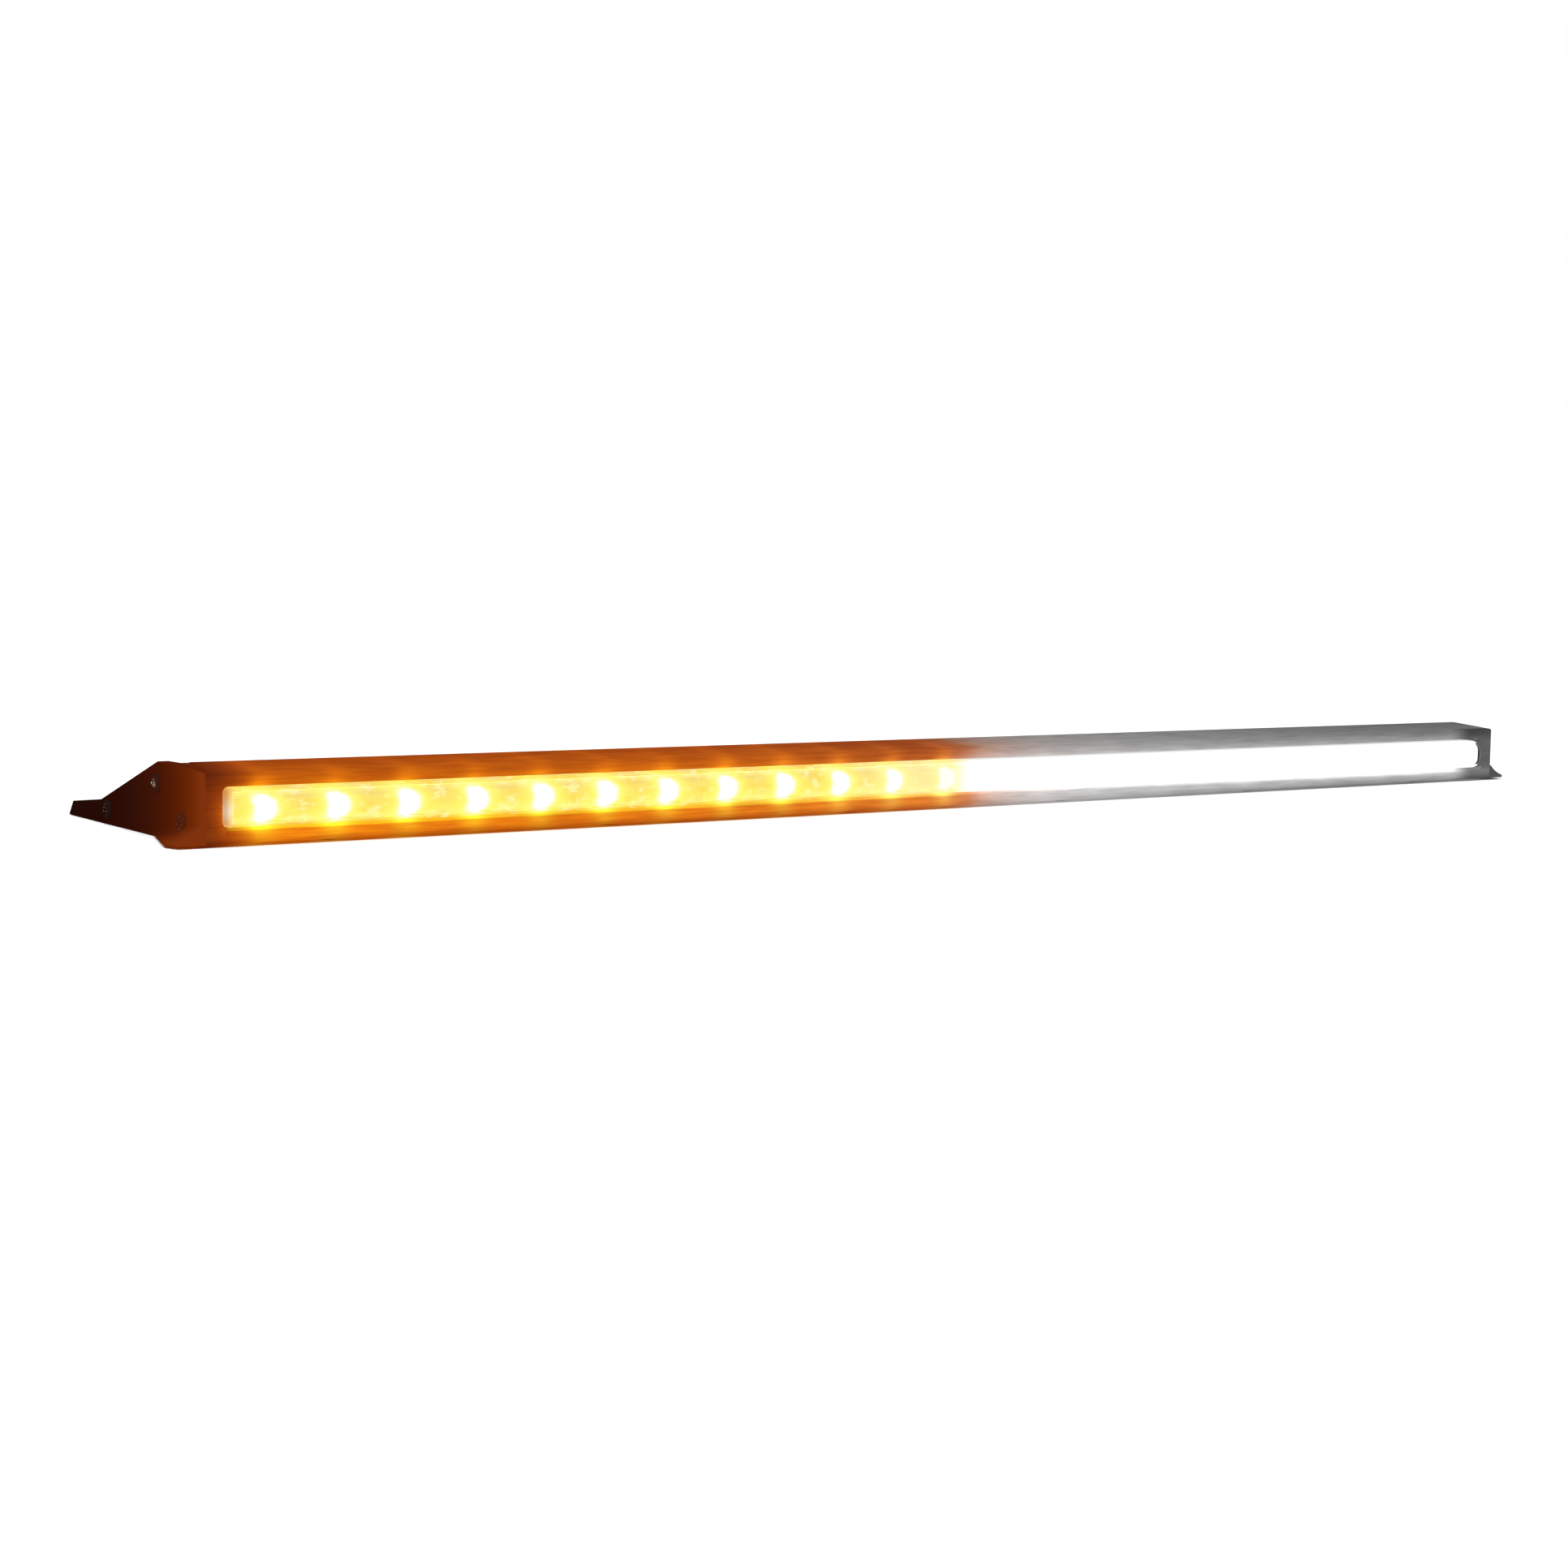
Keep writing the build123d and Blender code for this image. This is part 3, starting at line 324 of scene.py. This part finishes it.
def lens_glow(g, end_middle):
    """The lit lens: crescents of glare on the amber half and plain glare on the white."""
    x, _, z = g.mm()
    u = cell_phase(g)
    v = g.sub(z, CORE_Z)

    # the panel between two crescents: bands, flecks, streaks and a bright spot
    bands = g.ramp(z, AMBER_BANDS)
    cloud = g.noise(3.4, 3.0, (1.8, 1, 1))
    panel = g.mix(g.span(cloud, 0.48, 0.66, 0.0, 0.7), bands, (0.95, 0.66, 0.05))
    flecks = g.noise(2.2, 3.0, (1.7, 1, 0.8))
    panel = g.mix(g.span(flecks, 0.52, 0.66, 0.0, 0.7), panel, (1.0, 0.93, 0.40))
    dash = g.span(g.noise(6.0, 2.0, (1.6, 0.4, 0.4)), 0.42, 0.58)
    streak = g.mul(g.bell(z, 6.35, 0.42), dash)
    panel = g.mix(g.mul(streak, 0.8), panel, (1.0, 0.97, 0.30))
    upper = g.mul(g.bell(z, 13.05, 0.34), g.bell(u, 8.5, 4.5), dash)
    panel = g.mix(g.mul(upper, 0.7), panel, (1.0, 0.92, 0.52))
    spot = g.mul(g.bell(u, -5.3, 1.7), g.bell(z, 13.1, 0.9), g.span(x, -215.0, -150.0))
    panel = g.mix(g.mul(spot, 0.95), panel, (1.0, 0.97, 0.62))

    # each crescent is bowed to the right, with rounded ends
    ripple = g.mul(g.sub(g.noise(1.3, 3.0), 0.5), 1.1)
    across = g.sub(g.add(u, g.mul(v, v, 0.14)), 0.78)
    beyond = g.mul(g.most(g.sub(g.math("ABSOLUTE", v), 1.3), 0.0), 1.3)
    reach = g.math("SQRT", g.add(g.mul(across, across), g.mul(beyond, beyond)))
    inside = g.add(g.sub(2.6, reach), ripple)
    outside = g.most(g.mul(inside, -1.0), 0.0)
    amber = g.mix(g.mul(g.bell(outside, 0.0, 3.9), 0.95), panel, (1.0, 0.96, 0.060))
    amber = g.mix(g.fade(outside, 0.75), amber, (1.0, 1.0, 1.0))
    amber = g.mix(g.span(inside, -0.2, 0.5), amber, (1.3, 1.3, 1.27))

    # the left end is orange, with a pale bulge in the middle of its height
    orange = g.span(x, 0.6 - LENS_END, 3.2 - LENS_END, 0.85, 0.0)
    amber = g.mix(orange, amber, (0.93, 0.45, 0.12))
    bulge = g.mul(g.bell(x, -LENS_END, 2.0), g.bell(z, 8.8, 2.6),
                  g.span(flecks, 0.35, 0.55, 0.5, 1.0))
    amber = g.mix(g.mul(bulge, 0.95), amber, (1.0, 0.86, 0.60))
    amber = g.mix(g.span(x, -62.0, -14.0, 0.0, 0.5), amber, (1.0, 0.90, 0.48))

    seam = g.mul(g.bell(z, 12.2, 0.4), g.bell(cell_phase(g, WHITE_SHIFT + PITCH / 2), 0.0, 2.0))
    white = g.mix(g.mul(seam, 0.3), (1.25, 1.25, 1.25), (0.70, 0.70, 0.69))
    white = g.mix(g.span(z, 14.1, 14.8), white, (0.62, 0.61, 0.60))
    white = g.mix(g.span(z, 5.2, 4.4), white, (0.97, 0.97, 0.96))
    colour = g.mix(g.span(x, -10.0, 3.5), amber, white)

    # the left end starts softly, and past its round right end the lens shows a painted dark grey
    # glow
    soft_left = g.span(x, -LENS_END, -LENS_END + 1.2, 0.5, 1.0)
    colour = g.mix(soft_left, (0.30, 0.09, 0.012), colour)
    return g.mix(lit_end(g, end_middle), (0.078, 0.078, 0.078), colour)


# ---- materials ------------------------------------------------------------------------------
def satin_coat(name, tone, grain, relief, rough, specular, glow=False, edge_wear_and_highlight=0.02):
    """Black coating: fine relief, patchy sheen and slightly polished edges, lighter in colour:
    edge wear, which on the end caps, with no specular level, is also a painted edge highlight.
    """
    g = Graph(name)
    fine = g.noise(grain, 3.0)
    broad = g.noise(28.0, 4.0, (3, 1, 1))
    edge = g.mul(g.edges(0.35), g.span(g.noise(3.0, 4.0), 0.42, 0.62))
    darker = tuple(0.8 * c for c in tone)
    paler = tuple(1.25 * c for c in tone)
    base = g.mix(g.span(broad, 0.3, 0.7), darker, paler)
    base = g.mix(g.mul(edge, 0.6), base, (edge_wear_and_highlight, edge_wear_and_highlight, edge_wear_and_highlight))
    g.set(Base_Color=base,
          Roughness=g.add(g.span(broad, 0.3, 0.7, rough - 0.05, rough + 0.06),
                          g.mul(fine, 0.05)),
          Specular_IOR_Level=specular)
    g.bump(fine, relief)
    # painted glow: the lens's glare painted into the coating's emission
    if glow:
        g.set(Emission_Color=stray_light(g), Emission_Strength=1.0)
    return g.material


def bezel_plastic():
    """Moulded plastic with faint wiping marks, with the lens's glow painted into its emission."""
    g = Graph("bezel_black")
    smear = g.noise(9.0, 5.0, (6, 1, 1))
    g.set(Base_Color=g.mix(smear, (0.0020, 0.0020, 0.0022), (0.0034, 0.0034, 0.0036)),
          Roughness=g.span(smear, 0.3, 0.7, 0.16, 0.26),
          Specular_IOR_Level=0.0)
    g.bump(g.noise(0.8, 2.0), 0.010)
    g.set(Emission_Color=stray_light(g), Emission_Strength=1.0)
    return g.material


def lit_optic():
    """The moulded optic, which carries the pattern of the lit lens."""
    g = Graph("optic_lit")
    g.set(Base_Color=(0.02, 0.02, 0.02), Roughness=g.span(g.noise(2.0), 0.3, 0.7, 0.2, 0.3),
          Specular_IOR_Level=0.1, Emission_Color=lens_glow(g, OPTIC_END), Emission_Strength=1.0)
    return g.material


def clear_lens():
    """Clear polycarbonate whose rim and ends carry light from the emitters."""
    g = Graph("lens_clear")
    x, y, z = g.mm()
    # how far a place lies inside the lens's rounded outline, seen from the front
    half_height = (LENS_TOP - LENS_FOOT) / 2
    dx = g.sub(g.math("ABSOLUTE", x), LENS_END - LENS_CORNER)
    dz = g.sub(g.math("ABSOLUTE", g.sub(z, MIDDLE)), half_height - LENS_CORNER)
    out_x = g.most(dx, 0.0)
    out_z = g.most(dz, 0.0)
    round_part = g.math("SQRT", g.add(g.mul(out_x, out_x), g.mul(out_z, out_z)))
    straight_part = g.least(g.most(dx, dz), 0.0)
    inside = g.sub(LENS_CORNER, g.add(round_part, straight_part))

    # the rim and the left end show their own light, and the part past the lit area a painted dark
    # grey glow
    front = g.span(y, FACE - 0.25, FACE - 0.35)
    outer_wall = g.mul(g.span(inside, 0.4, 0.3), g.span(y, FACE + 3.5, FACE + 1.5))
    rim = g.mul(g.span(inside, 1.25, 1.05), g.most(front, outer_wall))
    lit = lit_end(g, CLEAR_END)
    left_end = g.span(x, 2.2 - LENS_END, 1.4 - LENS_END)
    clear = g.mul(lit, g.span(inside, 0.9, 1.1), g.sub(1.0, left_end))
    unlit = g.most(g.sub(1.0, lit), left_end)
    shown = g.most(rim, g.mul(unlit, g.most(front, outer_wall)))
    light = g.mix(shown, (0.0, 0.0, 0.0), lens_glow(g, LIT_END))
    g.set(Base_Color=g.mix(clear, (0.0, 0.0, 0.0), (1.0, 1.0, 1.0)),
          Roughness=g.span(g.noise(14.0), 0.3, 0.7, 0.01, 0.03),
          IOR=1.3, Transmission_Weight=1.0, Emission_Color=light, Emission_Strength=1.0)
    return g.material


def steel():
    """Bright stainless steel with fine turning marks."""
    g = Graph("screw_steel")
    marks = g.noise(0.25, 3.0, (1, 6, 1))
    g.set(Base_Color=g.mix(g.noise(1.5), (0.50, 0.50, 0.52), (0.68, 0.68, 0.69)),
          Metallic=1.0, Roughness=g.span(marks, 0.3, 0.7, 0.18, 0.36))
    g.bump(marks, 0.01)
    return g.material


def black_steel():
    """Black-coated screws, worn to metal on some edges, with the lens's glow painted into their
    emission; the upper left one has a painted glint on its worn edges.
    """
    g = Graph("screw_black")
    worn = g.mul(g.edges(0.2), g.span(g.noise(0.9, 3.0), 0.52, 0.62))
    x, _, z = g.mm()
    # painted glint on the worn edges of the upper left screw, and the painted lens glow at 0.6
    lit = g.mul(worn, g.span(z, 11.0, 12.0), g.span(x, 1.0, -1.0))
    glow = g.mix(0.6, (0.0, 0.0, 0.0), stray_light(g))
    g.set(Base_Color=g.mix(worn, (0.006, 0.005, 0.0045), (0.55, 0.50, 0.45)),
          Metallic=worn, Roughness=g.span(worn, 0.0, 1.0, 0.38, 0.22), Specular_IOR_Level=0.0,
          Emission_Color=g.mix(lit, glow, (0.95, 0.85, 0.72)), Emission_Strength=1.0)
    g.bump(g.noise(0.3, 3.0), 0.01)
    return g.material


def plain_metal(name, low, high, rough, grain=(8, 1, 1)):
    """Sheet or turned metal with a brushed finish."""
    g = Graph(name)
    brushed = g.noise(0.5, 4.0, grain)
    g.set(Base_Color=g.mix(brushed, low, high), Metallic=1.0,
          Roughness=g.span(brushed, 0.3, 0.7, rough - 0.06, rough + 0.08))
    g.bump(brushed, 0.008)
    return g.material


def matte(name, low, high, rough, grain=1.0, relief=0.02):
    """Rubber, nylon or moulded resin: soft mottling and a fine relief."""
    g = Graph(name)
    cloud = g.noise(6.0, 4.0)
    g.set(Base_Color=g.mix(g.span(cloud, 0.3, 0.7), low, high),
          Roughness=g.span(cloud, 0.3, 0.7, rough - 0.06, rough + 0.06),
          Specular_IOR_Level=0.4)
    g.bump(g.noise(grain, 3.0), relief)
    return g.material


def board(name, mask, track):
    """Solder mask over copper tracks that run along and across."""
    g = Graph(name)
    mapped = g.node("ShaderNodeMapping")
    g.put(g.place, mapped.inputs["Vector"])
    mapped.inputs["Scale"].default_value = (500.0, 500.0, 500.0)
    cells = g.node("ShaderNodeTexVoronoi", distance="CHEBYCHEV", feature="F1")
    g.put(mapped.outputs[0], cells.inputs["Vector"])
    cells.inputs["Scale"].default_value = 1.0
    raised = g.span(cells.outputs["Distance"], 0.40, 0.46)
    g.set(Base_Color=g.mix(raised, mask, track), Roughness=0.32, Specular_IOR_Level=0.5)
    g.bump(raised, 0.03)
    return g.material


def phosphor(name, colour, strength):
    """A small lit emitter package."""
    g = Graph(name)
    g.set(Base_Color=g.mix(g.noise(0.4), colour, tuple(0.85 * c for c in colour)),
          Roughness=0.4, Emission_Color=colour, Emission_Strength=strength)
    return g.material


def dome():
    """Clear silicone over an emitter."""
    g = Graph("dome_silicone")
    g.set(Base_Color=g.mix(g.noise(0.5), (0.98, 0.96, 0.92), (1.0, 1.0, 1.0)),
          Roughness=0.08, IOR=1.41, Transmission_Weight=1.0)
    return g.material


def cup_chrome():
    """Vacuum metallising on moulded cups, with a faint ripple."""
    g = Graph("reflector_chrome")
    ripple = g.noise(2.5, 2.0)
    g.set(Base_Color=(0.88, 0.88, 0.89), Metallic=1.0,
          Roughness=g.span(ripple, 0.3, 0.7, 0.05, 0.12))
    g.bump(ripple, 0.02)
    return g.material


MATERIALS = {
    "housing_metal": satin_coat("housing_metal", (0.016, 0.016, 0.017), 0.45, 0.05, 0.46, 0.45,
                                edge_wear_and_highlight=0.06),
    "cap_metal": satin_coat("cap_metal", (0.0020, 0.0016, 0.0015), 0.8, 0.01, 0.44, 0.0, True,
                            edge_wear_and_highlight=0.004),
    "bezel_black": bezel_plastic(),
    "lens_clear": clear_lens(),
    "optic_lit": lit_optic(),
    "reflector_chrome": cup_chrome(),
    "amber_phosphor": phosphor("amber_phosphor", (1.0, 0.52, 0.06), 3.0),
    "white_phosphor": phosphor("white_phosphor", (1.0, 0.96, 0.82), 3.0),
    "dome_silicone": dome(),
    "board_white": board("board_white", (0.76, 0.77, 0.76), (0.68, 0.69, 0.68)),
    "board_green": board("board_green", (0.012, 0.110, 0.040), (0.020, 0.170, 0.060)),
    "chip_black": matte("chip_black", (0.018, 0.018, 0.019), (0.030, 0.030, 0.031), 0.5, 0.3),
    "capacitor_can": plain_metal("capacitor_can", (0.62, 0.63, 0.64), (0.78, 0.79, 0.80), 0.25),
    "connector_white": matte("connector_white", (0.78, 0.75, 0.66), (0.86, 0.84, 0.76), 0.45),
    "pad_grey": matte("pad_grey", (0.34, 0.36, 0.38), (0.44, 0.46, 0.48), 0.85),
    "seal_rubber": matte("seal_rubber", (0.014, 0.014, 0.015), (0.026, 0.026, 0.027), 0.72, 0.6),
    "screw_steel": steel(),
    "screw_black": black_steel(),
    "spacer_brass": plain_metal("spacer_brass", (0.62, 0.46, 0.18), (0.78, 0.60, 0.28), 0.25),
    "plate_aluminium": plain_metal("plate_aluminium", (0.42, 0.43, 0.44), (0.56, 0.57, 0.58),
                                   0.38, (30, 1, 1)),
    "vent_plastic": matte("vent_plastic", (0.030, 0.030, 0.031), (0.044, 0.044, 0.045), 0.6),
    "lead_yellow": matte("lead_yellow", (0.66, 0.46, 0.03), (0.76, 0.56, 0.05), 0.45, 0.8, 0.01),
    "lead_white": matte("lead_white", (0.74, 0.74, 0.72), (0.84, 0.84, 0.82), 0.45, 0.8, 0.01),
    "lead_black": matte("lead_black", (0.020, 0.020, 0.021), (0.032, 0.032, 0.033), 0.45, 0.8,
                        0.01),
}

for part in frame["record"]["subparts"]:
    node = nodes[part["node"]]
    node.data.materials.clear()
    node.data.materials.append(MATERIALS[part["material_slot"]])


# ---- floor, light and camera ----------------------------------------------------------------
FLOOR_HALF = 30.0         # metres
FLOOR_GAP = 0.0002        # the floor lies this far below the bar's foot
LENS_MM = 55.08           # the photograph's focal length, on a 36 mm sensor
CAMERA_PLACE = (-0.4699, -0.6129, 0.0665)
CAMERA_RIGHT = (0.8165, -0.5772, 0.0143)
CAMERA_AHEAD = (0.5763, 0.8131, -0.0821)


def studio_floor():
    """A plain pale floor."""
    g = Graph("studio_floor")
    g.set(Base_Color=g.mix(g.noise(400.0, 3.0), (0.86, 0.86, 0.86), (0.88, 0.88, 0.88)),
          Roughness=0.9, Specular_IOR_Level=0.0)
    mesh = bpy.data.meshes.new("studio_floor")
    half = FLOOR_HALF
    corners = [(-half, -half, 0), (half, -half, 0), (half, half, 0), (-half, half, 0)]
    mesh.from_pydata(corners, [], [(0, 1, 2, 3)])
    mesh.materials.append(g.material)
    floor = bpy.data.objects.new("studio_floor", mesh)
    floor.location.z = -FLOOR_GAP
    bpy.context.scene.collection.objects.link(floor)


def studio_light():
    """A white surround, a broad light overhead, and two discs: one in front and one behind."""
    world = bpy.data.worlds.new("studio")
    bpy.context.scene.world = world
    world.use_nodes = True
    tree = world.node_tree
    tree.nodes.clear()
    seen = tree.nodes.new("ShaderNodeBackground")
    seen.inputs["Color"].default_value = (1.0, 1.0, 1.0, 1.0)
    seen.inputs["Strength"].default_value = 1.0
    fill = tree.nodes.new("ShaderNodeBackground")
    fill.inputs["Color"].default_value = (1.0, 1.0, 1.0, 1.0)
    fill.inputs["Strength"].default_value = 0.05
    path = tree.nodes.new("ShaderNodeLightPath")
    either = tree.nodes.new("ShaderNodeMixShader")
    out = tree.nodes.new("ShaderNodeOutputWorld")
    tree.links.new(path.outputs["Is Camera Ray"], either.inputs[0])
    tree.links.new(fill.outputs[0], either.inputs[1])
    tree.links.new(seen.outputs[0], either.inputs[2])
    tree.links.new(either.outputs[0], out.inputs["Surface"])

    sky = bpy.data.lights.new("overhead", "SUN")
    sky.energy = 3.6
    sky.angle = radians(70)
    lamp = bpy.data.objects.new("overhead", sky)
    lamp.rotation_euler = (radians(12), radians(-8), 0)
    bpy.context.scene.collection.objects.link(lamp)

    for name, spot, size, power in (("key", (-1.6, -1.2, 1.1), 0.5, 9.0),
                                    ("rim", (-0.5, 1.9, 1.3), 0.7, 14.0)):
        light = bpy.data.lights.new(name, "AREA")
        light.shape = "DISK"
        light.size = size
        light.energy = power
        lamp = bpy.data.objects.new(name, light)
        lamp.location = spot
        to_bar = Vector((0, 0, 0)) - Vector(spot)
        lamp.rotation_euler = to_bar.to_track_quat("-Z", "Y").to_euler()
        bpy.context.scene.collection.objects.link(lamp)


def photo_camera():
    """The camera at the photograph's angle."""
    data = bpy.data.cameras.new("photo_camera")
    data.sensor_width = 36.0
    data.lens = LENS_MM
    data.clip_start = 0.01
    data.clip_end = 200.0
    camera = bpy.data.objects.new("photo_camera", data)
    right = Vector(CAMERA_RIGHT).normalized()
    back = -Vector(CAMERA_AHEAD).normalized()
    up = back.cross(right).normalized()
    right = up.cross(back).normalized()
    turn = Matrix((right, up, back)).transposed().to_4x4()
    camera.matrix_world = Matrix.Translation(CAMERA_PLACE) @ turn
    bpy.context.scene.collection.objects.link(camera)
    bpy.context.scene.camera = camera


studio_floor()
studio_light()
photo_camera()
bpy.context.scene.view_settings.view_transform = "Standard"
